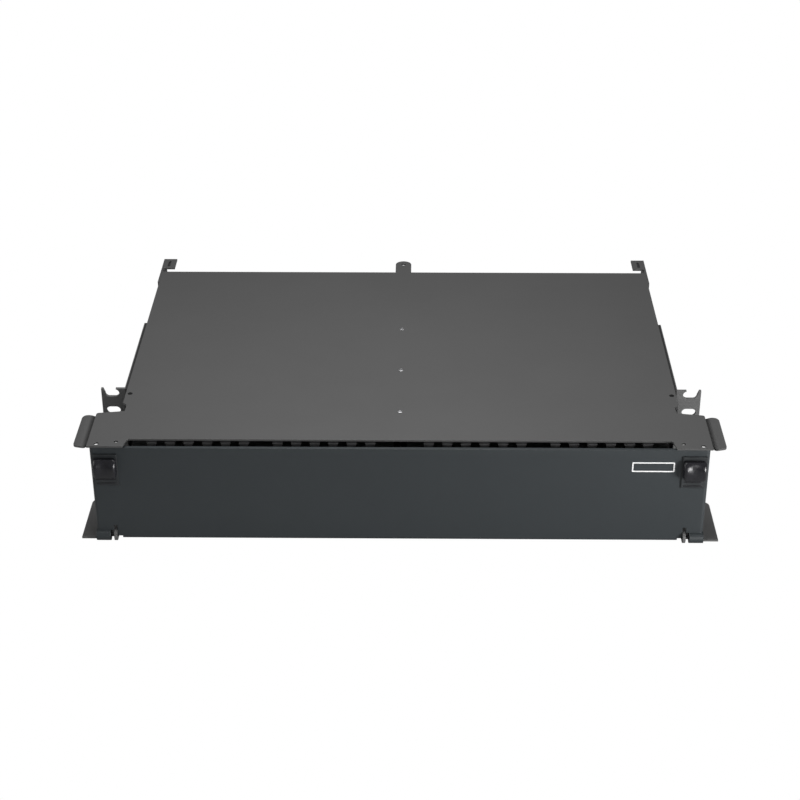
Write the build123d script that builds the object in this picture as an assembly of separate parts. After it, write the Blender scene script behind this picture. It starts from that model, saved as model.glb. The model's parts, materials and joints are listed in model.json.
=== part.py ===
import os

from build123d import *

os.makedirs("parts", exist_ok=True)

# Two-unit rack enclosure for optical fibre, in millimetres.
# X runs to the right, Y to the back and Z up. The origin is the middle of the rack
# screw pattern, on the back face of the ears, which lies on the rack's rails.

# Rack interface
rack_unit = 44.45
rack_hole_step = 15.875
rack_slot_spacing = 465.1
rack_slot_length = 11.3
rack_slot_height = 6.7
ear_margin = 8.75
ear_short = 2.3
ear_beak = 2.6
prong_taper = 2.6
bracket_t = 2.5
bracket_back = 209.0
bracket_corner = 3.0
bracket_screw_margin = 22.0
bracket_screw_edge = 15.0

# Case
cut = 1.0  # how far a cutter runs past what it cuts
sheet = 1.5
case_clear = 12.75
height_clear = 1.3
case_depth = 307.6
cover_front = 7.2
slot_inset = 11.3
slot_slant = 2.0
slot_corner = 2.0
door_reach = 88.4
wall_start = 63.5
flange_w = 8.0

# Shoulders, and the guards outside them that cords bend over
shoulder_overhang = 1.0
shoulder_lip = 4.0
shoulder_back = 46.8
lobe_w = 11.5
lobe_front = -0.8
lobe_back = 47.0
lobe_foot = 0.6
lobe_valley_w = 1.2
lobe_drop = 3.0
lobe_crown_x = 6.8
lobe_crown_drop = 2.0
lobe_tip_drop = 3.4
lobe_slant = 5.3
lobe_slant_w = 3.0
lobe_slant_corner = 2.5
lobe_corner = 6.8
lobe_rear_corner = 2.5
lap_w = 8.0
lap_front = 6.0
lap_back = 44.0
flare_front = 1.4
flare_back = 57.0
flare_gap = 1.0
flare_corner = 6.0
relief_w = 3.3
relief_front = 50.2
relief_slope = 3.0

# Door
door_overhang = 17.2
door_bottom = 0.8
door_top_gap = 2.4
door_flange = 5.0
door_hem = 3.0
hem_h = 8.0
door_bend = 3.0
hinge_y = 0.5
knuckle_w = 11.0
knuckle_r = 4.5
knuckle_gap = 2.6
slit_w = 2.8
slit_top = 13.6
pin_r = 1.5
pin_fit = 0.05
hinge_ear_reach = 7.0
fold_gap = 4.0
pan_gap = 2.0

# Latches
latch_inset = 11.5
latch_drop = 18.6
latch_travel = 5.0
knob_w = 17.6
knob_h = 14.0
knob_reach = 9.2
knob_edge = 2.2
bezel_w = 18.8
bezel_t = 1.2
bezel_lip = 1.2
bezel_above = 9.4
bezel_below = 18.2
snap_gap = 0.1
housing_depth = 8.0
housing_wall = 1.4
housing_back = 1.0
stem_w = 6.0
slide_top = 2.0
slide_gap = 0.3
catch_offset = 9.1
catch_r = 1.2
catch_hole_r = 1.6
lift_hole_inset = 6.0
lift_hole_r = 1.9
spring_r = 1.9

# Trays, six to a side
rows = 6
row_gap_low = 0.4
row_gap_high = 0.8
tray_t = 1.2
tray_front = 12.0
tray_back = 190.0
tray_play = 0.3
edge_play = 0.4
groove_depth = 3.4
side_guide_w = 13.3
centre_guide_w = 7.6
divider_t = 1.2
divider_flange_w = 9.0
divider_front = 44.0
guide_front = 68.0
guide_short = 7.6
comb_t = 3.0
comb_rail_h = 2.6
comb_headroom = 3.9
finger_w = 8.0
finger_foot_w = 4.4

# Cassettes and adapters
cassettes_per_tray = 2
ports = 6
cassette_front = 64.0
cassette_depth = 112.0
cassette_corner = 12.0
cassette_head = 1.1
cassette_margin = 2.7
cassette_gap = 2.7
port_margin = 4.5
adapter_rim = 0.8
adapter_side = 1.1
adapter_reach = 16.0
faceplate_t = 1.6
trunk_port_w = 13.0
trunk_port_rim = 1.3
trunk_port_reach = 10.0

# Rear brackets, rear tab and fasteners
rear_bracket_lap = 21.6
rear_bracket_reach = 29.4
rear_flange_w = 11.8
rear_flange_start = 8.0
rear_flange_d = 19.4
rear_bracket_corner = 6.0
tie_slot_start = 17.4
tie_slot_length = 12.0
tie_slot_w = 2.4
tab_w = 14.2
tab_reach = 24.1
tab_hole_r = 2.0
rivet_head_r = 2.2
rivet_head_h = 0.4
screw_head_r = 3.6
screw_head_h = 2.2
divider_rivets = (51.4, 120.1, 194.1)

# Places worked out from the sizes above
rack_width = rack_slot_spacing + 2 * ear_margin
case_w = rack_slot_spacing - 2 * case_clear
case_h = 2 * rack_unit - height_clear
ear_height = case_h - ear_short
base_z = -rack_unit
door_y = -(door_reach + bracket_t)
wall_out = case_w / 2
wall_in = wall_out - sheet
door_half = wall_out + door_overhang
door_top = case_h - sheet - door_top_gap
shoulder_half = door_half + shoulder_overhang
lobe_half = shoulder_half + lobe_w
hinge_h = knuckle_r
knuckle_in = door_half - knuckle_w
slit_out = knuckle_in - knuckle_gap
slit_in = slit_out - slit_w
hinge_ear_in = slit_in + slide_gap
hinge_ear_out = slit_out - slide_gap
pan_front = hinge_y + knuckle_r + pan_gap
latch_x = door_half - latch_inset
lift_hole_x = door_half - lift_hole_inset
latch_z = case_h - latch_drop
bezel_top = latch_z + bezel_above
bezel_bottom = latch_z - bezel_below
housing_half = bezel_w / 2 - bezel_lip - snap_gap
housing_floor = bezel_bottom + bezel_lip + snap_gap
slide_low = latch_z - stem_w / 2
slide_high = latch_z + stem_w / 2 + slide_top
catch_x = latch_x - catch_offset
catch_y = sheet + slide_gap + catch_r
row_pitch = (case_h - 2 * sheet - row_gap_low - row_gap_high) / rows
groove_h = tray_t + 2 * tray_play
guide_back = case_depth - guide_short
guide_in_face = divider_t / 2 + centre_guide_w
guide_out_face = wall_in - side_guide_w
tray_in = guide_in_face - groove_depth + edge_play
tray_out = guide_out_face + groove_depth - edge_play
cassette_w = (guide_out_face - guide_in_face - 2 * cassette_margin - cassette_gap) / cassettes_per_tray
cassette_h = row_pitch - tray_t - cassette_head
port_pitch = (cassette_w - 2 * port_margin) / ports


def back(distance):
    """Y of a place this far behind the door's front face."""
    return door_y + distance


def up(height):
    """Z of a place this far above the underside of the base."""
    return base_z + height


def slab(x0, x1, y0, y1, z0, z1):
    """Box between two X values, two distances behind the door and two heights."""
    size = Box(x1 - x0, y1 - y0, z1 - z0)
    return Pos((x0 + x1) / 2, back((y0 + y1) / 2), up((z0 + z1) / 2)) * size


def flat(points, z0, thickness, rounds=()):
    """Plate with the given plan, its points as X and distance behind the door.

    Each of the rounds is a corner's X, its distance behind the door and its radius.
    """
    face = make_face(Polyline(*[(x, back(y)) for x, y in points], close=True))
    for x, y, radius in rounds:
        corner = face.vertices().sort_by_distance((x, back(y), 0))[0]
        face = fillet(corner, radius)
    return Pos(0, 0, up(z0)) * extrude(face, amount=thickness)


def across(face, x0, x1):
    """Section drawn in Y and Z, run along X."""
    return extrude(Plane.YZ.offset(x0) * face, amount=x1 - x0)


def lengthways(face, y0, y1):
    """Section drawn in X and Z, run between two distances behind the door."""
    return extrude(Plane.XZ.offset(-back(y1)) * face, amount=y1 - y0)


def upright_hole(x, y, radius, z0, z1):
    """Cylinder along Z between two heights."""
    return Pos(x, back(y), up((z0 + z1) / 2)) * Cylinder(radius, z1 - z0)


def cross_hole(y, z, radius, x0, x1):
    """Cylinder along X."""
    rod = Rot(0, 90, 0) * Cylinder(radius, x1 - x0)
    return Pos((x0 + x1) / 2, back(y), up(z)) * rod


def both_sides(part):
    return part + mirror(part, about=Plane.YZ)


def other_side(part):
    return mirror(part, about=Plane.YZ)


def group(solids):
    return Compound(children=list(solids))


def make_cord_guard():
    """Crowned guard outside the right shoulder, with a lap under the shoulder's plate."""
    top = case_h - sheet
    lobe = lengthways(guard_section(), lobe_front, lobe_back)
    slant_x = shoulder_half + lobe_slant_w
    plan = [
        (shoulder_half, lobe_front + lobe_slant),
        (slant_x, lobe_front),
        (lobe_half, lobe_front),
        (lobe_half, lobe_back),
        (shoulder_half, lobe_back),
    ]
    rounds = [
        (slant_x, lobe_front, lobe_slant_corner),
        (lobe_half, lobe_front, lobe_corner),
        (lobe_half, lobe_back, lobe_rear_corner),
    ]
    lobe &= flat(plan, 0, case_h, rounds)
    return lobe + slab(shoulder_half - lap_w, shoulder_half, lap_front, lap_back, top - sheet, top)


def guard_section():
    """Section of the guard in X and Z: a step down from the shoulder, then the crown."""
    foot_x = shoulder_half + lobe_foot
    bed_x = foot_x + lobe_valley_w
    crown_x = shoulder_half + lobe_crown_x
    edges = []
    for depth in (0, sheet):
        bed = (bed_x, up(case_h - lobe_drop - depth))
        tip = (lobe_half, up(case_h - lobe_tip_drop - depth))
        edges.append(Polyline((shoulder_half, up(case_h - sheet - depth)), (foot_x, bed[1]), bed))
        edges.append(ThreePointArc(bed, (crown_x, up(case_h - lobe_crown_drop - depth)), tip))
    edges.append(Line(edges[0] @ 0, edges[2] @ 0))
    edges.append(Line(edges[1] @ 1, edges[3] @ 1))
    return make_face(edges)


def make_top_cover():
    """Flat cover with its shoulders, rear tab, latch holes and finger slot."""
    slot_half = wall_out - slot_inset
    half = [
        (0, cover_front),
        (slot_half, cover_front),
        (slot_half + slot_slant, -shoulder_lip),
        (shoulder_half, -shoulder_lip),
        (shoulder_half, shoulder_back),
        (wall_out - relief_w, relief_front),
        (wall_out - relief_w, wall_start - relief_slope),
        (wall_out, wall_start),
        (wall_out, case_depth),
        (0, case_depth),
    ]
    rounds = [(slot_half, cover_front, slot_corner), (shoulder_half, shoulder_back, slot_corner)]
    low = case_h - sheet
    right = flat(half, low, sheet, rounds)
    right -= upright_hole(catch_x, catch_y, catch_hole_r, low - cut, case_h + cut)
    right -= upright_hole(lift_hole_x, 0, lift_hole_r, low - cut, case_h + cut)
    tab_end = case_depth + tab_reach
    tab_centre = tab_end - tab_w / 2
    tab = slab(-tab_w / 2, tab_w / 2, case_depth, tab_centre, low, case_h)
    tab += upright_hole(0, tab_centre, tab_w / 2, low, case_h)
    tab -= upright_hole(0, tab_centre, tab_hole_r, low - cut, case_h + cut)
    return both_sides(right) + tab


def make_base_pan():
    """Base, side walls with inward flanges, lower shoulders and hinge ears."""
    flare_in = door_half + flare_gap
    half = [
        (0, pan_front),
        (flare_in, pan_front),
        (flare_in, flare_front),
        (lobe_half, flare_front),
        (lobe_half, flare_back),
        (wall_out + 2 * sheet, flare_back),
        (wall_out, wall_start),
        (wall_out, case_depth),
        (0, case_depth),
    ]
    rounds = [(lobe_half, flare_back, flare_corner)]
    wall_top = case_h - sheet
    right = flat(half, 0, sheet, rounds)
    right += slab(wall_in, wall_out, wall_start, case_depth, 0, wall_top)
    right += slab(wall_in - flange_w, wall_in, guide_front, guide_back, wall_top - sheet, wall_top)
    return both_sides(right + make_hinge_ear())


def make_hinge_ear():
    """Upright ear at the base's front edge, beside the door's knuckle."""
    ear = cross_hole(hinge_y, hinge_h, knuckle_r, hinge_ear_in, hinge_ear_out)
    ear += slab(hinge_ear_in, hinge_ear_out, hinge_y, pan_front + hinge_ear_reach,
                hinge_h - knuckle_r, hinge_h + knuckle_r)
    return ear - cross_hole(hinge_y, hinge_h, pin_r, hinge_ear_in - cut, hinge_ear_out + cut)


def make_bracket():
    """Right-hand rack bracket: a web on the case's side and an ear with six slots."""
    middle = case_h / 2
    low = middle - ear_height / 2
    high = middle + ear_height / 2
    web = Polyline(
        (back(door_reach), up(low)),
        (back(bracket_back - bracket_corner), up(low)),
        (back(bracket_back), up(low + bracket_corner)),
        (back(bracket_back), up(high - bracket_corner)),
        (back(bracket_back - bracket_corner), up(high)),
        (back(door_reach), up(high)),
        close=True,
    )
    ear_back = door_reach + bracket_t
    bracket = across(make_face(web), wall_out, wall_out + bracket_t)
    bracket += slab(wall_out, rack_width / 2, door_reach, ear_back, low, high)
    slot_x = rack_slot_spacing / 2
    slot_half = rack_slot_length / 2
    outline = SlotOverall(rack_slot_length, rack_slot_height)
    slot = Rot(90, 0, 0) * extrude(outline, amount=bracket_t + cut, both=True)
    outer_slot = rack_unit / 2 + rack_hole_step
    mouth_end = outer_slot + rack_slot_height
    for sign in (-1, 1):
        for step in (rack_unit / 2, rack_unit / 2 - rack_hole_step, outer_slot):
            bracket -= Pos(slot_x, back(ear_back), sign * step) * slot
        mouth = make_face(Polyline(
            (slot_x - slot_half + ear_beak, sign * outer_slot),
            (slot_x + slot_half, sign * outer_slot),
            (slot_x + slot_half + prong_taper, sign * mouth_end),
            (slot_x - slot_half + ear_beak, sign * mouth_end),
            close=True,
        ))
        bracket -= lengthways(mouth, door_reach - cut, ear_back + cut)
    return bracket


def make_bracket_screws():
    """Hexagon heads of the screws that hold each bracket, seated on its web."""
    middle = (door_reach + bracket_back) / 2
    reach = (bracket_back - door_reach) / 2 - bracket_screw_margin
    lift = ear_height / 2 - bracket_screw_edge
    head = across(RegularPolygon(screw_head_r, 6), wall_out + bracket_t, wall_out + bracket_t + screw_head_h)
    heads = [
        Pos(0, back(middle + y), up(case_h / 2 + z)) * head
        for y in (-reach, reach)
        for z in (-lift, lift)
    ]
    return group(heads + [other_side(head) for head in heads])


def make_rivets():
    """Heads of the blind rivets that hold the cover to the divider."""
    return group(
        upright_hole(0, place, rivet_head_r, case_h, case_h + rivet_head_h)
        for place in divider_rivets
    )


def make_centre_divider():
    """Folded partition between the two stacks of trays."""
    half = divider_flange_w / 2
    high = case_h - sheet
    divider = slab(-divider_t / 2, divider_t / 2, divider_front, guide_back, sheet, high)
    divider += slab(-half, half, divider_front, guide_back, sheet, sheet + divider_t)
    return divider + slab(-half, half, divider_front, guide_back, high - divider_t, high)


def row_z(row):
    """Height of the underside of a tray's groove."""
    return sheet + row_gap_low + row * row_pitch


def make_side_guide():
    """Moulded guide on the right wall, with a groove for each tray's edge."""
    guide = slab(guide_out_face, wall_in, guide_front, guide_back, sheet, case_h - 2 * sheet)
    for row in range(rows):
        z = row_z(row)
        guide -= slab(guide_out_face - cut, guide_out_face + groove_depth, guide_front - cut,
                      guide_back + cut, z, z + groove_h)
    return guide


def make_centre_guide():
    """Moulded guide on the right face of the divider."""
    low = sheet + divider_t
    guide = slab(divider_t / 2, guide_in_face, guide_front, guide_back, low, case_h - low)
    for row in range(rows):
        z = row_z(row)
        guide -= slab(guide_in_face - groove_depth, guide_in_face + cut, guide_front - cut,
                      guide_back + cut, z, z + groove_h)
    return guide


def make_rear_bracket():
    """Right rear corner bracket that cables are tied to, welded on the wall's outside."""
    outer = wall_out + sheet
    bracket = slab(wall_out, outer, case_depth - rear_bracket_lap, case_depth + rear_bracket_reach,
                   sheet, case_h)
    rear_edges = bracket.edges().filter_by(Axis.X).sort_by(Axis.Y)[-2:]
    bracket = fillet(rear_edges.sort_by(Axis.Z)[-1], rear_bracket_corner)
    flange_front = case_depth + rear_flange_start
    for z in (sheet, case_h - sheet):
        bracket += slab(outer - rear_flange_w, outer, flange_front, flange_front + rear_flange_d,
                        z, z + sheet)
    place = Pos(outer - rear_flange_w / 2, back(case_depth + tie_slot_start), up(case_h))
    outline = Rot(0, 0, 90) * SlotOverall(tie_slot_length, tie_slot_w)
    return bracket - place * extrude(outline, amount=sheet + cut, both=True)


def make_hinge_pins():
    """Pins pressed into the hinge ears, which the door's knuckles turn on."""
    pin = cross_hole(hinge_y, hinge_h, pin_r, hinge_ear_in, door_half)
    return group([pin, other_side(pin)])


def make_door_panel():
    """Folded door: face, top hem, side and bottom bends, and two rolled knuckles."""
    fold_half = hinge_ear_in - fold_gap
    face_low = door_bottom + door_bend
    end_low = hinge_h + knuckle_r
    door = slab(-slit_in, slit_in, 0, sheet, face_low, door_top)
    door += across(bottom_bend(), -fold_half, fold_half)
    door += slab(-fold_half, fold_half, door_bend, door_flange, door_bottom, door_bottom + sheet)
    hem_half = catch_x - catch_hole_r - catch_r
    door += slab(-hem_half, hem_half, sheet, door_hem, door_top - hem_h, door_top)
    side = [
        (slit_in, 0),
        (door_half, 0),
        (door_half, door_flange),
        (door_half - sheet, door_flange),
        (door_half - sheet, sheet),
        (slit_in, sheet),
    ]
    rounds = [(door_half, 0, door_bend), (door_half - sheet, sheet, door_bend - sheet)]
    end = flat(side, end_low, door_top - end_low, rounds)
    end -= slab(slit_in - cut, slit_out, -cut, sheet + cut, end_low - cut, slit_top)
    end += make_knuckle()
    return door + both_sides(end) - both_sides(latch_opening())


def bottom_bend():
    """Quarter ring in Y and Z that turns the door's face into its bottom flange."""
    centre = Pos(back(door_bend), up(door_bottom + door_bend))
    ring = Circle(door_bend) - Circle(door_bend - sheet)
    corner = Pos(-door_bend / 2, -door_bend / 2) * Rectangle(door_bend, door_bend)
    return centre * (ring & corner)


def make_knuckle():
    """Barrel at the door's lower right corner, round the hinge pin."""
    roll = Pos(back(hinge_y), up(hinge_h)) * Circle(knuckle_r)
    roll += Pos(back(sheet / 2), up(hinge_h + knuckle_r / 2)) * Rectangle(sheet, knuckle_r)
    knuckle = across(roll, knuckle_in, door_half)
    return knuckle - cross_hole(hinge_y, hinge_h, pin_r + pin_fit, knuckle_in - cut, door_half + cut)


def latch_opening():
    """Rectangular hole in the door that the latch's housing drops into."""
    half = bezel_w / 2 - bezel_lip
    return slab(latch_x - half, latch_x + half, -cut, sheet + cut,
                bezel_bottom + bezel_lip, bezel_top - bezel_lip)


def make_latch_housing():
    """Snap-in housing: a bezel in front and a guide box behind for the latch's slide."""
    high = bezel_top - bezel_lip - snap_gap
    room = housing_half - housing_wall
    room_back = housing_depth - housing_back
    housing = slab(latch_x - bezel_w / 2, latch_x + bezel_w / 2, -bezel_t, 0, bezel_bottom, bezel_top)
    housing += slab(latch_x - housing_half, latch_x + housing_half, 0, housing_depth, housing_floor, high)
    floor = housing_floor + housing_wall
    housing -= slab(latch_x - room, latch_x + room, sheet, room_back, floor, high + cut)
    slot_half = stem_w / 2 + slide_gap
    housing -= slab(latch_x - slot_half, latch_x + slot_half, -bezel_t - cut, sheet + cut,
                    latch_z - slot_half - latch_travel, latch_z + slot_half)
    housing -= slab(latch_x - housing_half - cut, latch_x - room, catch_y - catch_r - slide_gap,
                    room_back, slide_low - slide_gap - latch_travel, high + cut)
    return housing


def knob_section():
    """Section of the knob in Y and Z: a barrel on a straight edge."""
    rear = back(-bezel_t - slide_gap)
    shoulder = rear - knob_edge
    front = back(-knob_reach)
    low = up(latch_z - knob_h / 2)
    high = up(latch_z + knob_h / 2)
    edge = Polyline((shoulder, low), (rear, low), (rear, high), (shoulder, high))
    barrel = ThreePointArc((shoulder, high), (front, up(latch_z)), (shoulder, low))
    return make_face(edge + barrel)


def make_latch():
    """Right latch: barrel knob, stem, slide and the pin that rises behind the door."""
    latch = across(knob_section(), latch_x - knob_w / 2, latch_x + knob_w / 2)
    slide_front = sheet + slide_gap
    slide_back = housing_depth - housing_back - slide_gap
    half = housing_half - housing_wall - slide_gap
    latch += slab(latch_x - stem_w / 2, latch_x + stem_w / 2, -bezel_t - knob_edge, slide_front,
                  latch_z - stem_w / 2, latch_z + stem_w / 2)
    latch += slab(latch_x - half, latch_x + half, slide_front, slide_back, slide_low, slide_high)
    latch += slab(catch_x - catch_r, latch_x, slide_front, slide_front + 2 * catch_r, slide_low, slide_high)
    pin_top = case_h - sheet - slide_gap
    return latch + upright_hole(catch_x, catch_y, catch_r, slide_low, pin_top)


def make_latch_spring():
    """Return spring under the slide, as its closed outer form."""
    low = housing_floor + housing_wall
    middle = (sheet + housing_depth - housing_back) / 2
    return upright_hole(latch_x, middle, spring_r, low, slide_low)


def cassette_centres():
    first = guide_in_face + cassette_margin + cassette_w / 2
    return [first + index * (cassette_w + cassette_gap) for index in range(cassettes_per_tray)]


def port_centres(middle):
    return [middle + (index - (ports - 1) / 2) * port_pitch for index in range(ports)]


def make_tray(row):
    """Right-hand tray: a plate, and the comb of cord fingers along its front."""
    z = row_z(row) + tray_play
    top = z + tray_t
    plate = slab(tray_in, tray_out, tray_front, tray_back, z, top)
    rail_in = guide_in_face + cassette_margin
    rail_out = guide_out_face - cassette_margin
    plate += slab(rail_in, rail_out, tray_front, tray_front + comb_t, top, top + comb_rail_h)
    finger_top = z + row_pitch - comb_headroom
    for middle in cassette_centres():
        for x in port_centres(middle):
            plate += finger(x, top + comb_rail_h, finger_top)
    return plate


def finger(x, low, high):
    """Flared finger that keeps the cords in their lane."""
    section = make_face(Polyline(
        (x - finger_foot_w / 2, up(low)),
        (x + finger_foot_w / 2, up(low)),
        (x + finger_w / 2, up(high)),
        (x - finger_w / 2, up(high)),
        close=True,
    ))
    return lengthways(section, tray_front, tray_front + comb_t)


def make_cassettes(row):
    """Two cassettes, each with its trunk connector's port at the back."""
    low = row_z(row) + tray_play + tray_t
    middle_z = low + cassette_h / 2
    port_h = cassette_h - 2 * trunk_port_rim
    rear = cassette_front + cassette_depth
    shells = []
    for middle in cassette_centres():
        half = cassette_w / 2
        plan = [
            (middle - half, cassette_front),
            (middle + half, cassette_front),
            (middle + half, rear - cassette_corner),
            (middle + half - cassette_corner, rear),
            (middle - half + cassette_corner, rear),
            (middle - half, rear - cassette_corner),
        ]
        shell = flat(plan, low, cassette_h)
        shell += slab(middle - trunk_port_w / 2, middle + trunk_port_w / 2, rear, rear + trunk_port_reach,
                      middle_z - port_h / 2, middle_z + port_h / 2)
        shells.append(shell)
    return group(shells)


def make_adapters(row):
    """Duplex adapters closed by their dust caps, six to a faceplate."""
    low = row_z(row) + tray_play + tray_t
    plate_front = cassette_front - faceplate_t
    half = cassette_w / 2
    side = port_pitch / 2 - adapter_side
    strips = []
    for middle in cassette_centres():
        strip = slab(middle - half, middle + half, plate_front, cassette_front, low, low + cassette_h)
        for x in port_centres(middle):
            strip += slab(x - side, x + side, plate_front - adapter_reach, plate_front,
                          low + adapter_rim, low + cassette_h - adapter_rim)
        strips.append(strip)
    return group(strips)


def pieces():
    """Every piece of the enclosure, by name."""
    yield "top_cover", make_top_cover()
    yield "base_pan", make_base_pan()
    yield "bracket_screws", make_bracket_screws()
    yield "rivets", make_rivets()
    yield "centre_divider", make_centre_divider()
    yield "hinge_pins", make_hinge_pins()
    yield "door_panel", make_door_panel()
    pairs = {
        "cord_guard": make_cord_guard(),
        "bracket": make_bracket(),
        "centre_guide": make_centre_guide(),
        "side_guide": make_side_guide(),
        "rear_bracket": make_rear_bracket(),
        "latch_housing": make_latch_housing(),
        "latch": make_latch(),
        "latch_spring": make_latch_spring(),
    }
    for kind, right in pairs.items():
        yield f"{kind}_right", right
        yield f"{kind}_left", other_side(right)
    for row in range(rows):
        kinds = {"tray": make_tray(row), "cassettes": make_cassettes(row), "adapters": make_adapters(row)}
        for kind, right in kinds.items():
            yield f"{kind}_right_{row + 1}", right
            yield f"{kind}_left_{row + 1}", other_side(right)


for name, piece in pieces():
    export_step(piece, f"parts/{name}.step")
    print(name, len(piece.solids()), "solid" if len(piece.solids()) == 1 else "solids")
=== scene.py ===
import json
import math

import bmesh
import bpy
from mathutils import Matrix, Vector


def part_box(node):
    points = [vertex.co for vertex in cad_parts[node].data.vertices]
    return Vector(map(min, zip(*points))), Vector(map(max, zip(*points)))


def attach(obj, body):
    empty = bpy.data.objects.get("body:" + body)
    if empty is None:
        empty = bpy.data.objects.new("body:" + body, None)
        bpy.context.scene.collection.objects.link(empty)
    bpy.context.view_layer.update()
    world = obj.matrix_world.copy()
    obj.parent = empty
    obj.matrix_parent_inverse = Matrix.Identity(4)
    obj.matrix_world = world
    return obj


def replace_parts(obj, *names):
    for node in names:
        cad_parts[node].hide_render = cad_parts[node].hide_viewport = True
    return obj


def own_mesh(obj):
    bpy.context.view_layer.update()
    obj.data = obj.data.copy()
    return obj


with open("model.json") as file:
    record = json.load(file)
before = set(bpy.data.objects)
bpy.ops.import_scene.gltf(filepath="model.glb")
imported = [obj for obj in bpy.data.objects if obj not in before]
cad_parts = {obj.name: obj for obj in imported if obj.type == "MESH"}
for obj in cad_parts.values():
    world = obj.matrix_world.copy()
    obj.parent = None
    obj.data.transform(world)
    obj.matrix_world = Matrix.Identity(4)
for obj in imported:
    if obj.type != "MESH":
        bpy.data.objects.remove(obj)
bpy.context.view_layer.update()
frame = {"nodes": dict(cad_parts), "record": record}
mm = 0.001
up = (0, 0, 1)

# Everything hangs on the door's face and the underside of the base, as in the CAD.
bezelProud = 1.2
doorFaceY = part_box("latch_housing_right")[0][1] + bezelProud * mm
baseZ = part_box("base_pan")[0][2]
coverTop = (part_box("top_cover")[1][2] - baseZ) / mm


class Value:
    # One socket of a material; arithmetic on it adds Math nodes.
    def __init__(self, graph, socket):
        self.graph = graph
        self.socket = socket

    def __sub__(self, other):
        return self.graph.maths("SUBTRACT", self, other)

    def __rsub__(self, other):
        return self.graph.maths("SUBTRACT", other, self)

    def __mul__(self, other):
        return self.graph.maths("MULTIPLY", self, other)

    def __rmul__(self, other):
        return self.graph.maths("MULTIPLY", other, self)


class Graph:
    # The nodes of a material or of the world.
    bevelSamples = 4

    def __init__(self, owner):
        owner.use_nodes = True
        self.owner = owner
        self.tree = owner.node_tree
        self.tree.nodes.clear()

    def node(self, kind, settings=None, inputs=None, out=0):
        made = self.tree.nodes.new(kind)
        for key, value in (settings or {}).items():
            setattr(made, key, value)
        for key, value in (inputs or {}).items():
            if isinstance(value, Value):
                self.tree.links.new(value.socket, made.inputs[key])
            else:
                made.inputs[key].default_value = value
        return Value(self, made.outputs[out]) if made.outputs else made

    def maths(self, operation, a, b=0.0):
        return self.node("ShaderNodeMath", {"operation": operation}, {0: a, 1: b})

    def blendColours(self, factor, a, b, how="MIX"):
        # sockets 6 and 7 are the colour pair of a Mix node, output 2 its colour
        settings = {"data_type": "RGBA", "blend_type": how}
        return self.node("ShaderNodeMix", settings, {0: factor, 6: a, 7: b}, out=2)

    def place(self):
        return self.node("ShaderNodeTexCoord", out="Object")

    def noise(self, scale, detail, roughness):
        inputs = {"Vector": self.place(), "Scale": scale, "Detail": detail, "Roughness": roughness}
        return self.node("ShaderNodeTexNoise", None, inputs)

    def spread(self, value, low, high, toLow=0.0, toHigh=1.0):
        ranges = {"From Min": low, "From Max": high, "To Min": toLow, "To Max": toHigh}
        return self.node("ShaderNodeMapRange", {"clamp": True}, {"Value": value, **ranges})

    def roundedNormal(self, radius):
        return self.node("ShaderNodeBevel", {"samples": self.bevelSamples}, {"Radius": radius})

    def bump(self, height, strength, depth, normal):
        inputs = {"Strength": strength, "Distance": depth, "Height": height, "Normal": normal}
        return self.node("ShaderNodeBump", None, inputs)

    def surface(self, inputs):
        return self.finish(self.node("ShaderNodeBsdfPrincipled", None, inputs))

    def finish(self, shader, end="ShaderNodeOutputMaterial"):
        self.node(end, None, {"Surface": shader})
        return self.owner


def newGraph(name):
    return Graph(bpy.data.materials.new(name))


def rgb(colour):
    return (*colour, 1.0)


def toned(colour, share):
    return rgb([min(1.0, part * share) for part in colour])


# The values of a noise that are spread over: for most things, for the tint of plastic and metal,
# and for the powder coat's grain.
noiseSpan = (0.3, 0.7)
tintSpan = (0.35, 0.7)
grainSpan = (0.35, 0.65)

# Powder coat: fine grain, faint clouding, edges where the coat is thin and rubbed.
# A noise is its scale, detail and roughness. A crease band is painted shade, not a colour of the coat:
# dark up to its first distance from the middle, in mm, and faded out at the second. The guard's lies
# along the fold beside the shoulder, the ear's along the gap between the cover and the bracket.
powderCoat = {
    # The pan's and the bracket's coat is the case's coat made lighter: painted light for faces that the
    # lamps reach poorly, the flare under the guard and the ears' fronts.
    "case": (0.062, 0.062, 0.062), "pan": (0.098, 0.098, 0.098), "bracket": (0.098, 0.098, 0.098),
    # The door's coat is the case's coat made darker, with a faint blue tint; the darkness is painted shade
    # for its front face.
    "door": (0.0224, 0.0274, 0.0303),
    "grain": (2600.0, 2.0, 0.6), "grainStrength": 0.35, "grainDepth": 0.00005, "speckle": 0.06,
    "clouds": (14.0, 4.0, 0.55), "clouding": 0.025,
    "smears": (60.0, 3.0, 0.6), "roughness": 0.46, "smoother": 0.012, "rougher": 0.015,
    "edgeRadius": 0.0006, "edgeFacing": (0.999, 0.93), "edgeLift": 1.5,
    "wear": (400.0, 3.0, 0.6), "wearSpan": (0.40, 0.62), "wearShare": 0.55, "wearShine": 0.06,
    "paintedShadeShare": 0.12, "guardPaintedShadeBand": (240.2, 242.6), "earPaintedShadeBand": (221.4, 222.0),
}


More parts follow.
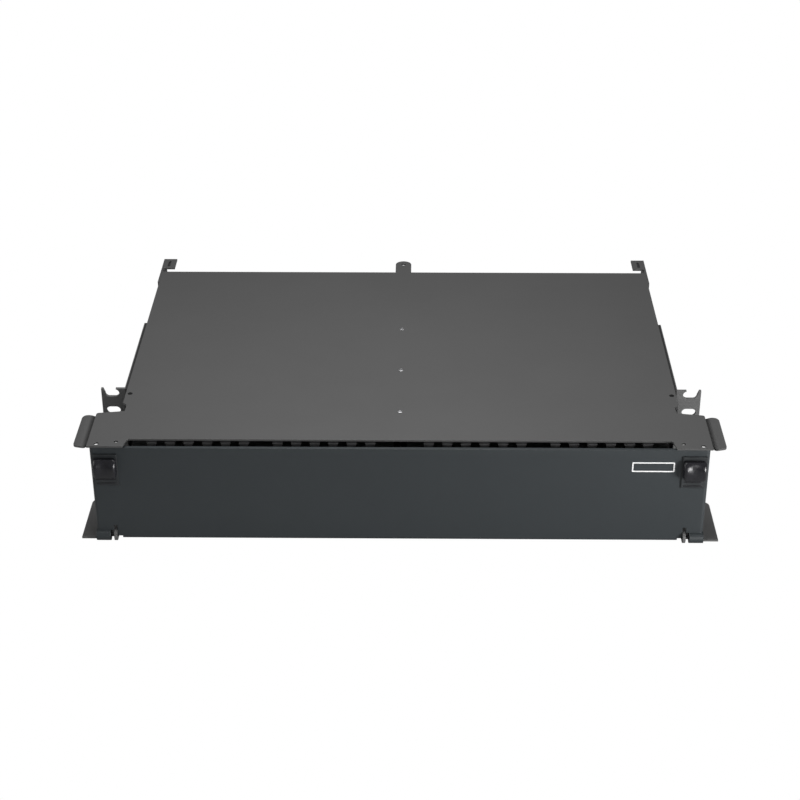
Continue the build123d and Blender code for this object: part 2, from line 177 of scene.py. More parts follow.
def makePowderCoat(name, colour, crease=None):
    p = powderCoat
    g = newGraph(name)
    grain = g.noise(*p["grain"])
    rounded = g.roundedNormal(p["edgeRadius"])
    faceNormal = g.node("ShaderNodeNewGeometry", out="Normal")
    turned = {0: rounded, 1: faceNormal}
    facing = g.node("ShaderNodeVectorMath", {"operation": "DOT_PRODUCT"}, turned, "Value")
    worn = g.spread(facing, *p["edgeFacing"]) * g.spread(g.noise(*p["wear"]), *p["wearSpan"])
    shade = g.spread(g.noise(*p["clouds"]), *noiseSpan, 1 - p["clouding"], 1 + p["clouding"])
    tone = shade * g.spread(grain, *grainSpan, 1 - p["speckle"], 1 + p["speckle"])
    grey = g.node("ShaderNodeCombineColor", None, {0: tone, 1: tone, 2: tone})
    base = g.blendColours(1.0, rgb(colour), grey, "MULTIPLY")
    base = g.blendColours(worn * p["wearShare"], base, toned(colour, p["edgeLift"]))
    # painted shade: darkens the coat across the band, in the guard's fold and the gap beside the ear
    if crease:
        across = g.node("ShaderNodeSeparateXYZ", None, {0: g.place()}, "X")
        clear = g.spread(g.maths("ABSOLUTE", across), crease[0] * mm, crease[1] * mm)
        base = g.blendColours(clear, toned(colour, p["paintedShadeShare"]), base)
    low, high = p["roughness"] - p["smoother"], p["roughness"] + p["rougher"]
    rough = g.spread(g.noise(*p["smears"]), *noiseSpan, low, high) - worn * p["wearShine"]
    bump = g.bump(grain, p["grainStrength"], p["grainDepth"], rounded)
    return g.surface({"Base Color": base, "Roughness": rough, "Normal": bump})


# Mouldings: black plastic, glossy for the latches and matt inside. What all share comes first.
moulding = {
    "handled": (180.0, 4.0, 0.6), "handledLift": 1.5, "smoother": 0.04, "rougher": 0.07,
    "grainDetail": 2.0, "grainRoughness": 0.5, "grainStrength": 0.3, "edgeRadius": 0.0003, "sheen": 0.5,
}
mouldings = {
    "latch_gloss": {"colour": (0.008, 0.008, 0.010), "roughness": 0.22, "grainScale": 4000.0,
                    "grainDepth": 0.000001},
    "housing_satin": {"colour": (0.0165, 0.0185, 0.0200), "roughness": 0.44, "grainScale": 4000.0,
                      "grainDepth": 0.000001, "edgeRadius": 0.0016, "sheen": 0.45},
    "guide_matt": {"colour": (0.016, 0.016, 0.017), "roughness": 0.55, "grainScale": 3000.0,
                   "grainDepth": 0.00004},
    # The trays are grey plastic lifted lighter as painted light: the fingers sit under the cover's edge,
    # where little lamp light reaches.
    "tray_matt_painted_light": {"colour": (0.13, 0.13, 0.132), "roughness": 0.50, "grainScale": 3000.0,
                  "grainDepth": 0.00004},
    "cassette_matt": {"colour": (0.018, 0.018, 0.019), "roughness": 0.55, "grainScale": 3000.0,
                      "grainDepth": 0.00004},
    "adapter_matt": {"colour": (0.014, 0.014, 0.015), "roughness": 0.42, "grainScale": 2500.0,
                     "grainDepth": 0.00003},
    "screw_sunk": {"colour": (0.004, 0.004, 0.004), "roughness": 0.6, "grainScale": 3000.0,
                   "grainDepth": 0.00001, "sheen": 0.15},
}


def makeMoulding(name):
    m = {**moulding, **mouldings[name]}
    g = newGraph(name)
    grain = g.noise(m["grainScale"], m["grainDetail"], m["grainRoughness"])
    handled = g.noise(*m["handled"])
    lifted = toned(m["colour"], m["handledLift"])
    tint = g.blendColours(g.spread(handled, *tintSpan), rgb(m["colour"]), lifted)
    rough = g.spread(handled, *noiseSpan, m["roughness"] - m["smoother"], m["roughness"] + m["rougher"])
    bump = g.bump(grain, m["grainStrength"], m["grainDepth"], g.roundedNormal(m["edgeRadius"]))
    return g.surface({"Base Color": tint, "Roughness": rough, "Normal": bump,
                      "Specular IOR Level": m["sheen"]})


# Bare and blackened metal for rivets, screws and springs. What all share comes first.
metal = {
    "drag": (900.0, 3.0, 0.6), "dragShade": 0.7, "smoother": 0.06, "rougher": 0.10,
    "dragStrength": 0.2, "dragDepth": 0.00002, "edgeRadius": 0.00025,
}
metals = {
    "rivet_zinc": {"colour": (0.46, 0.46, 0.47), "roughness": 0.35},
    "screw_black": {"colour": (0.035, 0.035, 0.037), "roughness": 0.45},
    "spring_wire": {"colour": (0.42, 0.41, 0.40), "roughness": 0.35},
}


def makeMetal(name):
    m = {**metal, **metals[name]}
    g = newGraph(name)
    drag = g.noise(*m["drag"])
    tint = g.blendColours(g.spread(drag, *tintSpan), rgb(m["colour"]), toned(m["colour"], m["dragShade"]))
    rough = g.spread(drag, *noiseSpan, m["roughness"] - m["smoother"], m["roughness"] + m["rougher"])
    bump = g.bump(drag, m["dragStrength"], m["dragDepth"], g.roundedNormal(m["edgeRadius"]))
    return g.surface({"Base Color": tint, "Roughness": rough, "Metallic": 1.0, "Normal": bump})


finishes = {
    "case_steel": makePowderCoat("coat_case", powderCoat["case"]),
    "door_steel": makePowderCoat("coat_door_painted_shade", powderCoat["door"]),
    "bracket_steel": makePowderCoat("coat_ear_painted_light_and_shade", powderCoat["bracket"], powderCoat["earPaintedShadeBand"]),
    "latch_plastic": makeMoulding("latch_gloss"),
    "guide_plastic": makeMoulding("guide_matt"),
    "tray_plastic": makeMoulding("tray_matt_painted_light"),
    "cassette_plastic": makeMoulding("cassette_matt"),
    "adapter_plastic": makeMoulding("adapter_matt"),
    "rivet_steel": makeMetal("rivet_zinc"),
    "screw_steel": makeMetal("screw_black"),
    "spring_steel": makeMetal("spring_wire"),
}
# pieces whose coat differs a little from their slot's; the pan's lighter coat is painted light, and the
# guard's carries a painted shade band
ownFinish = {
    "base_pan": makePowderCoat("coat_pan_painted_light", powderCoat["pan"]),
    "cord_guard": makePowderCoat("coat_guard_painted_shade", powderCoat["case"], powderCoat["guardPaintedShadeBand"]),
    "latch_housing": makeMoulding("housing_satin"),
    "cover_screw": makeMoulding("screw_sunk"),
}
print("finishes made:", len(finishes) + len(ownFinish))

# Smooth shading stops where two faces meet at more than foldAngle degrees; weld is in mm.
smoothing = {"foldAngle": 36, "weld": 0.001}


def makeSmoothing():
    tree = bpy.data.node_groups.new("smooth_up_to_folds", "GeometryNodeTree")
    tree.interface.new_socket("Geometry", in_out="INPUT", socket_type="NodeSocketGeometry")
    tree.interface.new_socket("Geometry", in_out="OUTPUT", socket_type="NodeSocketGeometry")
    start = tree.nodes.new("NodeGroupInput")
    weld = tree.nodes.new("GeometryNodeMergeByDistance")
    weld.inputs["Distance"].default_value = smoothing["weld"] * mm
    angle = tree.nodes.new("GeometryNodeInputMeshEdgeAngle")
    fold = tree.nodes.new("FunctionNodeCompare")
    fold.operation = "GREATER_THAN"
    fold.inputs["B"].default_value = math.radians(smoothing["foldAngle"])
    smooth = tree.nodes.new("GeometryNodeSetShadeSmooth")
    crease = tree.nodes.new("GeometryNodeSetShadeSmooth")
    crease.domain = "EDGE"
    crease.inputs["Shade Smooth"].default_value = False
    end = tree.nodes.new("NodeGroupOutput")
    for source, target in (
        (start.outputs[0], weld.inputs["Geometry"]), (weld.outputs[0], smooth.inputs["Geometry"]),
        (smooth.outputs[0], crease.inputs["Geometry"]), (angle.outputs["Unsigned Angle"], fold.inputs["A"]),
        (fold.outputs[0], crease.inputs["Selection"]), (crease.outputs[0], end.inputs[0]),
    ):
        tree.links.new(source, target)
    return tree


smoothUpToFolds = makeSmoothing()


def smoothOut(thing):
    thing.modifiers.new("smooth_up_to_folds", "NODES").node_group = smoothUpToFolds


slotOf = {row["node"]: row["material_slot"] for row in frame["record"]["subparts"]}
for name, node in frame["nodes"].items():
    kind = name.removesuffix("_left").removesuffix("_right")
    node.data.materials.clear()
    node.data.materials.append(ownFinish.get(kind, finishes[slotOf[name]]))
    smoothOut(node)
print("nodes dressed:", len(frame["nodes"]))


def at(x, behind, height):
    # mm from the middle, behind the door's face and above the base
    return Vector((x * mm, doorFaceY + behind * mm, baseZ + height * mm))


def linked(name, data, body, shift=(0.0, 0.0, 0.0)):
    piece = bpy.data.objects.new(name, data)
    piece.location = Vector(shift) * mm
    bpy.context.scene.collection.objects.link(piece)
    smoothOut(piece)
    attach(piece, body)
    return piece


def meshFrom(name, material, build, *details):
    shape = bmesh.new()
    build(shape, *details)
    bmesh.ops.recalc_face_normals(shape, faces=shape.faces)
    data = bpy.data.meshes.new(name)
    shape.to_mesh(data)
    shape.free()
    data.materials.append(material)
    return data


def around(middle, half):
    return middle - half, middle + half


def onSide(side, low, high):
    # a stretch across, mirrored to the left where side is -1
    return sorted((side * low, side * high))


def joinLoops(shape, one, two):
    for i in range(len(one)):
        j = (i + 1) % len(one)
        shape.faces.new((one[i], one[j], two[j], two[i]))


def addLoft(shape, rings):
    # skin through rings of points, with both ends closed
    loops = [[shape.verts.new(point) for point in ring] for ring in rings]
    for one, two in zip(loops, loops[1:]):
        joinLoops(shape, one, two)
    shape.faces.new(loops[0])
    shape.faces.new(loops[-1])
    return [vertex for loop in loops for vertex in loop]


def softBox(shape, xs, ys, zs, rounding):
    # block with its edges rounded over
    plan = ((xs[0], ys[0]), (xs[1], ys[0]), (xs[1], ys[1]), (xs[0], ys[1]))
    lower = [at(x, y, zs[0]) for x, y in plan]
    upper = [point + Vector(up) * ((zs[1] - zs[0]) * mm) for point in lower]
    edges = {edge for vertex in addLoft(shape, [lower, upper]) for edge in vertex.link_edges}
    bmesh.ops.bevel(shape, geom=list(edges), offset=rounding * mm, segments=2, profile=0.5, affect="EDGES")


def ringOf(centre, u, v, radius, count):
    turns = [2 * math.pi * i / count for i in range(count)]
    return [centre + (u * math.cos(turn) + v * math.sin(turn)) * radius * mm for turn in turns]


def addLathe(shape, foot, axis, profile, count):
    # profile: radius and height along the axis, from the foot to the top; count: corners round it
    axis = Vector(axis).normalized()
    u = axis.orthogonal().normalized()
    v = axis.cross(u).normalized()
    addLoft(shape, [ringOf(foot + axis * (height * mm), u, v, radius, count) for radius, height in profile])


def addWire(shape, path, radius, count):
    rings = []
    for i, point in enumerate(path):
        along = (path[min(i + 1, len(path) - 1)] - path[max(i - 1, 0)]).normalized()
        u = along.cross(Vector(up)).normalized()
        v = u.cross(along).normalized()
        rings.append(ringOf(point, u, v, radius, count))
    addLoft(shape, rings)


# Slide latches: a barrel knob dished for a thumb, its stem, slide and pin.
latch = {
    "centre": 225.5, "width": 17.6, "rear": -1.5, "top": 75.6, "foot": 59.6, "middle": (-5.0, 68.0),
    # behind the door and height, from the foot to the top
    "curve": ((-6.6, 60.2), (-10.4, 66.5), (-8.6, 72.5), (-4.6, 75.6)),
    "endRound": 2.6, "dish": 1.45, "dishWidth": 0.86, "dishMiddle": 0.50, "dishHalf": 0.56,
    "curveSteps": 32, "endSteps": 6, "plainSteps": 20,
    "stemLow": 66.0, "stem": 6.0, "slideHalf": 6.4, "slideFront": 1.8, "slideBack": 6.7, "slideTop": 74.0,
    "lap": 0.5, "rounding": 0.4, "armRounding": 0.3, "stroke": 5.0,
    "pinX": 216.4, "pinBehind": 3.0, "pinRadius": 1.2, "pinTop": 85.8, "pinTaper": 0.5, "pinPoint": 0.7,
    "pinCorners": 24,
}


def swell(share):
    # 1 in the middle, easing down to 0 at -1 and 1
    return max(0.0, 1 - share ** 2) ** 2


def knobRing(side, x, inset):
    k = latch
    across = swell((x - k["centre"]) / (k["width"] / 2) / k["dishWidth"])
    ring = [(k["rear"], k["foot"])]
    for i in range(k["curveSteps"] + 1):
        t = i / k["curveSteps"]
        weights = ((1 - t) ** 3, 3 * t * (1 - t) ** 2, 3 * t * t * (1 - t), t ** 3)
        behind, height = (sum(w * point[axis] for w, point in zip(weights, k["curve"])) for axis in (0, 1))
        upward = swell((t - k["dishMiddle"]) / k["dishHalf"])
        ring.append((behind + k["dish"] * across * upward, height))
    ring.append((k["rear"], k["top"]))
    inward = []
    for behind, height in ring:
        toMiddle = Vector((k["middle"][0] - behind, k["middle"][1] - height))
        moved = toMiddle.normalized() * inset
        inward.append(at(side * x, behind if behind == k["rear"] else behind + moved[0], height + moved[1]))
    return inward


def buildLatch(shape, side):
    k = latch
    half, end = k["width"] / 2, k["endRound"]
    stations = []
    for i in range(k["endSteps"], -1, -1):
        turn = math.pi / 2 * i / k["endSteps"]
        stations.append((-half + end * (1 - math.sin(turn)), end * (1 - math.cos(turn))))
    plain = [(-half + end + (k["width"] - 2 * end) * i / k["plainSteps"], 0.0)
             for i in range(1, k["plainSteps"])]
    ends = [(-x, inset) for x, inset in reversed(stations)]
    addLoft(shape, [knobRing(side, k["centre"] + x, inset) for x, inset in stations + plain + ends])
    low, high, front = k["stemLow"], k["stemLow"] + k["stem"], k["slideFront"]
    xs = onSide(side, *around(k["centre"], k["stem"] / 2))
    softBox(shape, xs, (k["rear"] - k["lap"], front + k["lap"]), (low, high), k["rounding"])
    xs = onSide(side, *around(k["centre"], k["slideHalf"]))
    softBox(shape, xs, (front, k["slideBack"]), (low, k["slideTop"]), k["rounding"])
    xs = onSide(side, k["pinX"] - k["pinRadius"], k["centre"])
    softBox(shape, xs, (front, front + 2 * k["pinRadius"]), (low, k["slideTop"]), k["armRounding"])
    foot = at(side * k["pinX"], k["pinBehind"], low + k["lap"])
    tall = k["pinTop"] - low - k["lap"]
    profile = [(k["pinRadius"], 0), (k["pinRadius"], tall - k["pinTaper"]), (k["pinPoint"], tall)]
    addLathe(shape, foot, up, profile, k["pinCorners"])


# Return springs between the housing's floor and the slide. Each end has endShare of the wire and
# lies nearly flat: both together rise by endRise of the height, and the turns between by the rest.
spring = {
    "middle": 4.25, "low": 53.5, "high": 66.0, "radius": 1.6, "turns": 9, "stepsPerTurn": 24,
    "wire": 0.28, "wireCorners": 8, "endShare": 0.1, "endRise": 0.06,
}


def buildSpring(shape, side):
    s = spring
    path = []
    steps = s["turns"] * s["stepsPerTurn"]
    rise = s["high"] - s["low"] - 2 * s["wire"]
    for i in range(steps + 1):
        share = i / steps
        between = min(1.0, max(0.0, (share - s["endShare"]) / (1 - 2 * s["endShare"])))
        height = s["low"] + s["wire"] + rise * (s["endRise"] * share + (1 - s["endRise"]) * between)
        turn = 2 * math.pi * s["turns"] * share
        path.append(at(side * latch["centre"] + s["radius"] * math.cos(turn),
                       s["middle"] + s["radius"] * math.sin(turn), height))
    addWire(shape, path, s["wire"], s["wireCorners"])


# Ribs across the latch housing, under the knob.
housingRibs = {
    "half": 7.6, "front": -1.42, "rear": -1.0, "heights": (52.2, 55.6), "thick": 1.1, "rounding": 0.3,
}


def buildRibs(shape, side):
    r = housingRibs
    xs = onSide(side, *around(latch["centre"], r["half"]))
    for height in r["heights"]:
        softBox(shape, xs, (r["front"], r["rear"]), (height, height + r["thick"]), r["rounding"])


sides = {"right": 1, "left": -1}
for name, side in sides.items():
    data = meshFrom("latch_" + name, finishes["latch_plastic"], buildLatch, side)
    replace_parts(linked("latch_knob_" + name, data, "latch_" + name), "latch_" + name)
    data = meshFrom("coil_" + name, finishes["spring_steel"], buildSpring, side)
    coil = linked("latch_coil_" + name, data, "door")
    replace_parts(coil, "latch_spring_" + name)
    foot = at(side * latch["centre"], spring["middle"], spring["low"])
    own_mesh(coil)
for name, side in sides.items():
    data = meshFrom("ribs_" + name, finishes["latch_plastic"], buildRibs, side)
    linked("housing_ribs_" + name, data, "door")
print("latches, springs and ribs built")

# Duplex adapters, six to a cassette, in a faceplate. A key stands in the mouth between its two ports.
adapter = {
    "edge": 10.9, "cassette": 94.35, "between": 2.7, "margin": 4.5, "count": 6, "gap": 1.1, "rim": 0.8,
    "plateFront": 62.4, "plateBack": 64.0, "reach": 16.0, "capReach": 3.4, "wall": 0.9, "deep": 1.6,
    "rowLow": 3.4, "high": 11.6, "rounding": 0.25, "keyHalf": 0.45, "keyBack": 0.2, "keyRounding": 0.1,
}
rowLow, rowHigh = adapter["rowLow"], adapter["rowLow"] + adapter["high"]
adapterPitch = (adapter["cassette"] - 2 * adapter["margin"]) / adapter["count"]
adapterHalf = adapterPitch / 2 - adapter["gap"]
cassetteStarts = [adapter["edge"] + n * (adapter["cassette"] + adapter["between"]) for n in range(2)]
adapterCentres = [start + adapter["margin"] + adapterPitch * (i + 0.5)
                  for start in cassetteStarts for i in range(adapter["count"])]


def buildAdapters(shape):
    a = adapter
    for start in cassetteStarts:
        plate = (a["plateFront"], a["plateBack"])
        softBox(shape, (start, start + a["cassette"]), plate, (rowLow, rowHigh), a["rounding"])
    front = a["plateFront"] - a["reach"] + a["capReach"]
    low, high = rowLow + a["rim"], rowHigh - a["rim"]
    key = (front + a["keyBack"], front + a["deep"] + a["keyBack"])
    for x in adapterCentres:
        before = set(shape.faces)
        softBox(shape, around(x, adapterHalf), (front, a["plateFront"]), (low, high), a["rounding"])
        faces = [face for face in shape.faces if face not in before]
        mouth = min(faces, key=lambda face: (round(face.calc_center_median().y, 6), -face.calc_area()))
        bmesh.ops.inset_individual(shape, faces=[mouth], thickness=a["wall"] * mm)
        bmesh.ops.translate(shape, verts=mouth.verts, vec=(0, a["deep"] * mm, 0))
        softBox(shape, around(x, a["keyHalf"]), key, (low + a["wall"], high - a["wall"]), a["keyRounding"])


# Dust caps, two to an adapter, each with a grip on its nose.
dustCap = {
    "half": 2.0, "inset": 1.9, "toMiddle": 0.1, "front": 0.8, "lap": 1.4, "rounding": 0.35,
    "gripHalf": 0.6, "gripReach": 1.2, "gripInset": 1.0, "gripRounding": 0.3,
}


def buildCaps(shape):
    c = dustCap
    nose = adapter["plateFront"] - adapter["reach"]
    low, high = rowLow + c["inset"], rowHigh - c["inset"]
    reach = (nose + c["front"], nose + adapter["capReach"] + c["lap"])
    for x in adapterCentres:
        for side in (-1, 1):
            middle = x + side * (adapterHalf / 2 - c["toMiddle"])
            softBox(shape, around(middle, c["half"]), reach, (low, high), c["rounding"])
            softBox(shape, around(middle, c["gripHalf"]), (nose, nose + c["gripReach"]),
                    (low + c["gripInset"], high - c["gripInset"]), c["gripRounding"])


# Cassettes' seams, lid screws and the cap on the trunk connector.
cassetteTrim = {
    "front": 64.0, "rear": 176.0, "corner": 12.0, "seam": 0.25, "seamHigh": 0.5, "lap": 0.5,
    "portHalf": 7.1, "portReach": 2.0, "portInset": 0.8, "portRounding": 0.3, "portRear": 186.0,
    "capHalf": 5.2, "capReach": 4.0, "capHalfHigh": 3.2, "capRounding": 0.8,
    "screwAcross": 36.0, "screwBehind": (18.0, 88.0), "screwSunk": 0.1, "screwCorners": 20,
    "screwProfile": ((2.1, 0.0), (2.1, 0.25), (1.6, 0.4), (0.5, 0.42)),
}


def buildCassetteTrim(shape):
    c = cassetteTrim
    middle = (rowLow + rowHigh) / 2
    for start in cassetteStarts:
        x0 = start - c["seam"]
        x1 = x0 + adapter["cassette"] + 2 * c["seam"]
        front, rear = c["front"] + c["lap"], c["rear"] + c["seam"]
        plan = [(x0, front), (x1, front), (x1, rear - c["corner"]), (x1 - c["corner"], rear),
                (x0 + c["corner"], rear), (x0, rear - c["corner"])]
        addLoft(shape, [[at(x, y, z) for x, y in plan] for z in (middle, middle + c["seamHigh"])])
        x = (x0 + x1) / 2
        softBox(shape, around(x, c["portHalf"]), (c["rear"], c["rear"] + c["portReach"]),
                (rowLow + c["portInset"], rowHigh - c["portInset"]), c["portRounding"])
        softBox(shape, around(x, c["capHalf"]), (c["portRear"] - c["lap"], c["portRear"] + c["capReach"]),
                around(middle, c["capHalfHigh"]), c["capRounding"])
        for behind in c["screwBehind"]:
            for aside in (-c["screwAcross"], c["screwAcross"]):
                foot = at(x + aside, c["front"] + behind, rowHigh - c["screwSunk"])
                addLathe(shape, foot, up, c["screwProfile"], c["screwCorners"])


trayRows = {"pitch": 13.9, "count": 6}
sideShift = {"right": 0.0, "left": -2 * adapter["edge"] - 2 * adapter["cassette"] - adapter["between"]}
adapterData = meshFrom("adapters", finishes["adapter_plastic"], buildAdapters)
capData = meshFrom("dust_caps", finishes["guide_plastic"], buildCaps)
trimData = meshFrom("cassette_trim", finishes["cassette_plastic"], buildCassetteTrim)
for name in sides:
    for row in range(1, trayRows["count"] + 1):
        body = f"tray_{name}_{row}"
        shift = (sideShift[name], 0.0, trayRows["pitch"] * (row - 1))
        shells = linked(f"adapter_shells_{name}_{row}", adapterData, body, shift)
        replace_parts(shells, f"adapters_{name}_{row}")
        linked(f"dust_caps_{name}_{row}", capData, body, shift)
        linked(f"cassette_trim_{name}_{row}", trimData, body, shift)
print("adapters, caps and cassette trim built")

# Hexagon screws with a flange, four in each bracket. Both profiles are shares of the radius and mm
# from the sheet.
bracketScrews = {
    "x": 222.3, "behind": (110.4, 187.0), "heights": (15.95, 71.45), "radius": 3.6,
    "flange": ((1.22, 0.0), (1.22, 0.35), (1.0, 0.6)), "flangeCorners": 30,
    "head": ((1.0, 0.4), (1.0, 1.7), (0.86, 2.1), (0.5, 2.2), (0.3, 1.2)), "headCorners": 6,
}


def inMm(profile, radius, high=1.0):
    return [(radius * share, high * lift) for share, lift in profile]


def buildBracketScrews(shape):
    b = bracketScrews
    for side in (-1, 1):
        for behind in b["behind"]:
            for height in b["heights"]:
                foot = at(side * b["x"], behind, height)
                outward = (side, 0, 0)
                addLathe(shape, foot, outward, inMm(b["flange"], b["radius"]), b["flangeCorners"])
                addLathe(shape, foot, outward, inMm(b["head"], b["radius"]), b["headCorners"])


# Rivets on the cover's middle line. The profile is shares of the radius and of the height.
rivetHeads = {
    "behind": (51.4, 120.1, 194.1), "radius": 2.2, "high": 0.4, "corners": 32,
    "profile": ((1.0, 0.0), (0.97, 0.35), (0.8, 0.75), (0.55, 1.0), (0.36, 1.0), (0.34, 0.2), (0.1, 0.2)),
}


def buildRivets(shape):
    r = rivetHeads
    for behind in r["behind"]:
        profile = inMm(r["profile"], r["radius"], r["high"])
        addLathe(shape, at(0, behind, coverTop), up, profile, r["corners"])


# Flat heads all but flush with the cover, near its front corners, and their hexagon sockets.
# Profiles are shares of the radius and mm from the cover.
coverScrews = {
    "x": 216.2, "behind": 78.4,
    "radius": 1.9, "head": ((1.0, -0.2), (1.0, 0.12), (0.88, 0.3), (0.62, 0.3)), "headCorners": 30,
    "socketRadius": 0.9, "socket": ((1.0, 0.32), (0.8, 0.1)), "socketCorners": 6,
}


def buildCoverScrews(shape):
    c = coverScrews
    for side in (-1, 1):
        foot = at(side * c["x"], c["behind"], coverTop)
        addLathe(shape, foot, up, inMm(c["head"], c["radius"]), c["headCorners"])
        addLathe(shape, foot, up, inMm(c["socket"], c["socketRadius"]), c["socketCorners"])


# Painted shade: dark sheets in the slots of the rear brackets, standing in for the shade inside them.
slotShadeSheet = {
    "x": 215.4, "behind": 325.0, "halfWidth": 1.25, "halfLength": 6.0, "low": 86.2, "high": 86.7,
    "rounding": 0.1,
}


def buildSlotShadeSheets(shape):
    f = slotShadeSheet
    for side in (-1, 1):
        xs = onSide(side, *around(f["x"], f["halfWidth"]))
        softBox(shape, xs, around(f["behind"], f["halfLength"]), (f["low"], f["high"]), f["rounding"])


data = meshFrom("bracket_screw_heads", finishes["screw_steel"], buildBracketScrews)
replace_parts(linked("bracket_screw_heads", data, "enclosure"), "bracket_screws")
data = meshFrom("rivet_heads", finishes["rivet_steel"], buildRivets)
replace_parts(linked("rivet_heads", data, "enclosure"), "rivets")
data = meshFrom("cover_screws", ownFinish["cover_screw"], buildCoverScrews)
linked("cover_screws", data, "enclosure")
data = meshFrom("slot_shade_sheets", finishes["guide_plastic"], buildSlotShadeSheets)
linked("slot_shade_sheets", data, "enclosure")
print("fasteners and slot floors built")

# The empty label field printed on the door's right end, in mm from the middle and above the base.
labelField = {
    "left": 177.9, "right": 210.5, "low": 64.4, "high": 73.0, "line": 1.05,
    "corner": 0.8, "leastCorner": 0.1, "cornerSteps": 5, "inkThick": 0.05,
    "ink": {"colour": (0.80, 0.80, 0.80), "roughness": 0.5, "uneven": 0.05, "thinShade": 0.9},
    "weave": (2200.0, 2.0, 0.5),
}


def makeInk(name):
    # screen-printed ink: thin, slightly uneven
    ink = labelField["ink"]
    g = newGraph(name)
    weave = g.noise(*labelField["weave"])
    thin = toned(ink["colour"], ink["thinShade"])
    tint = g.blendColours(g.spread(weave, *noiseSpan), rgb(ink["colour"]), thin)
    rough = g.spread(weave, *noiseSpan, *around(ink["roughness"], ink["uneven"]))
    return g.surface({"Base Color": tint, "Roughness": rough})


def roundedLoop(inset):
    f = labelField
    corner = max(f["leastCorner"], f["corner"] - inset)
    x0, x1 = f["left"] + inset, f["right"] - inset
    z0, z1 = f["low"] + inset, f["high"] - inset
    centres = [(x1 - corner, z1 - corner), (x0 + corner, z1 - corner),
               (x0 + corner, z0 + corner), (x1 - corner, z0 + corner)]
    loop = []
    for quarter, (x, z) in enumerate(centres):
        for i in range(f["cornerSteps"] + 1):
            angle = math.radians(90 * (quarter + i / f["cornerSteps"]))
            loop.append((x + corner * math.cos(angle), z + corner * math.sin(angle)))
    return loop


def buildLabelField(shape):
    outer, inner = roundedLoop(0), roundedLoop(labelField["line"])
    proud = -labelField["inkThick"]
    rings = []
    for loop, depth in ((outer, 0.0), (outer, proud), (inner, proud), (inner, 0.0)):
        rings.append([shape.verts.new(at(x, depth, z)) for x, z in loop])
    for one, two in zip(rings, rings[1:] + rings[:1]):
        joinLoops(shape, one, two)


linked("label_field", meshFrom("label_field", makeInk("label_ink"), buildLabelField), "door")
print("label field printed")

# Studio: white surroundings, a broad lamp overhead and smaller ones in front, to the right and to
# the left. Places are in metres. The floor lies floorDrop mm under the base, clear of the lowered door.
studio = {
    "ambient": 0.205, "floorShade": 0.36, "floorDrop": 14.0, "floorReach": 6.0,
    "lamps": {
        "overhead": {"power": 4.4, "size": 0.5, "place": (-0.02, -0.01, 0.59), "target": (0, 0, 0)},
        "front": {"power": 1.2, "size": 0.45, "place": (0.35, -1.30, 0.30), "target": (0, -0.09, 0)},
        "side": {"power": 10.3, "size": 0.35, "place": (0.80, -0.70, 0.12), "target": (0, -0.09, 0)},
        "fill": {"power": 1.6, "size": 0.5, "place": (-0.90, -0.25, 0.35), "target": (-0.2, 0, 0)},
    },
}
white = (1, 1, 1, 1)


def makeLamp(name, power, size, place, target):
    data = bpy.data.lights.new(name, "AREA")
    data.energy = power
    data.shape = "SQUARE"
    data.size = size
    lamp = bpy.data.objects.new(name, data)
    lamp.location = place
    lamp.rotation_euler = (Vector(target) - Vector(place)).to_track_quat("-Z", "Y").to_euler()
    bpy.context.scene.collection.objects.link(lamp)


def makeWorld():
    world = bpy.data.worlds.new("studio")
    bpy.context.scene.world = world
    g = Graph(world)
    seen = g.maths("MAXIMUM", g.node("ShaderNodeLightPath", out="Is Camera Ray"),
                   g.node("ShaderNodeLightPath", out="Is Transmission Ray"))
    soft = g.node("ShaderNodeBackground", None, {"Color": white, "Strength": studio["ambient"]})
    bright = g.node("ShaderNodeBackground", None, {"Color": white, "Strength": 1.0})
    g.finish(g.node("ShaderNodeMixShader", None, {0: seen, 1: soft, 2: bright}), "ShaderNodeOutputWorld")


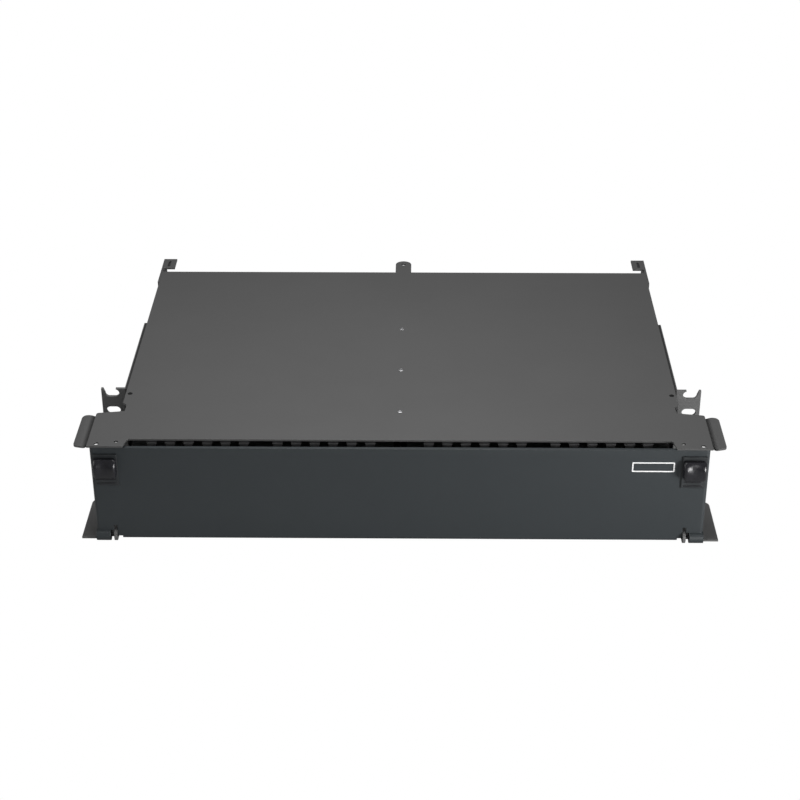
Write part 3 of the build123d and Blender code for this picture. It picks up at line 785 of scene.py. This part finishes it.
def makeFloorWhite():
    # white to the camera, a grey that takes shadows to everything else, clear from below
    g = newGraph("floor_white")
    seen = g.node("ShaderNodeLightPath", out="Is Camera Ray")
    glow = g.node("ShaderNodeEmission", None, {"Color": white, "Strength": 1.0})
    matt = g.node("ShaderNodeBsdfDiffuse", None, {"Color": rgb([studio["floorShade"]] * 3)})
    upper = g.node("ShaderNodeMixShader", None, {0: seen, 1: matt, 2: glow})
    under = g.node("ShaderNodeNewGeometry", out="Backfacing")
    clear = g.node("ShaderNodeBsdfTransparent", None, {"Color": white})
    return g.finish(g.node("ShaderNodeMixShader", None, {0: under, 1: upper, 2: clear}))


def makeFloor():
    reach = studio["floorReach"]
    level = baseZ - studio["floorDrop"] * mm
    corners = [(-reach, -reach), (reach, -reach), (reach, reach), (-reach, reach)]
    shape = bmesh.new()
    shape.faces.new([shape.verts.new((x, y, level)) for x, y in corners])
    data = bpy.data.meshes.new("floor")
    shape.to_mesh(data)
    shape.free()
    data.materials.append(makeFloorWhite())
    floor = bpy.data.objects.new("floor", data)
    bpy.context.scene.collection.objects.link(floor)


makeWorld()
for name, lamp in studio["lamps"].items():
    makeLamp(name, **lamp)
makeFloor()
print("studio lit")

# The photographer's camera, found from the rack pattern: place in mm from the door's face and the base.
camera = {
    "place": (15.49, -1165.71, 779.25),
    "yaw": 0.731, "pitch": 29.24, "roll": -0.117,
    "focalPixels": 1782.8, "imagePixels": 800, "sensor": 36.0, "clipEnd": 50.0,
}


def makeCamera():
    data = bpy.data.cameras.new("camera")
    data.sensor_fit = "HORIZONTAL"
    data.sensor_width = camera["sensor"]
    data.lens = camera["focalPixels"] / camera["imagePixels"] * camera["sensor"]
    data.clip_end = camera["clipEnd"]
    eye = bpy.data.objects.new("camera", data)
    turn = Matrix.Rotation(math.radians(camera["yaw"]), 4, "Z")
    tilt = Matrix.Rotation(math.radians(90.0 - camera["pitch"]), 4, "X")
    roll = Matrix.Rotation(math.radians(camera["roll"]), 4, "Z")
    eye.matrix_world = Matrix.Translation(at(*camera["place"])) @ turn @ tilt @ roll
    bpy.context.scene.collection.objects.link(eye)
    bpy.context.scene.camera = eye


makeCamera()
bpy.context.scene.view_settings.view_transform = "Standard"
print("camera set")
